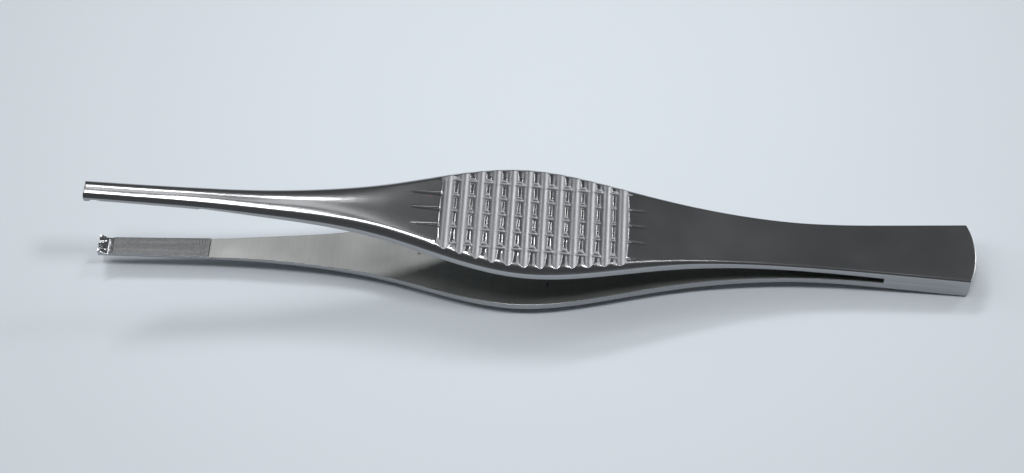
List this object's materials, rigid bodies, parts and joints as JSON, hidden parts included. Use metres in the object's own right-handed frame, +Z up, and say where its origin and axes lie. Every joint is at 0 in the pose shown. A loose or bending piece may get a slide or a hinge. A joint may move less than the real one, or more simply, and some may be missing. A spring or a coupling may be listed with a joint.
{
  "type": "thumb forceps",
  "caption": "Spring thumb forceps with interlocking teeth, tying platforms behind them and a broad fluted, cross-cut grip; two steel arms welded at the heel.",
  "frame": {"origin": "middle of the whole instrument in plan, on the surface that it lies on", "axes": "+X along the instrument from the tips to the heel, +Y across the width of the arms, +Z up, away from the surface; the arms open and close along Z"},
  "size_m": [0.1784, 0.0258, 0.0242],
  "materials": {
    "satin_steel": "satin"
  },
  "bodies": {
    "root": {"upper_arm": "satin_steel", "lower_arm": "satin_steel"}
  },
  "joints": []
}
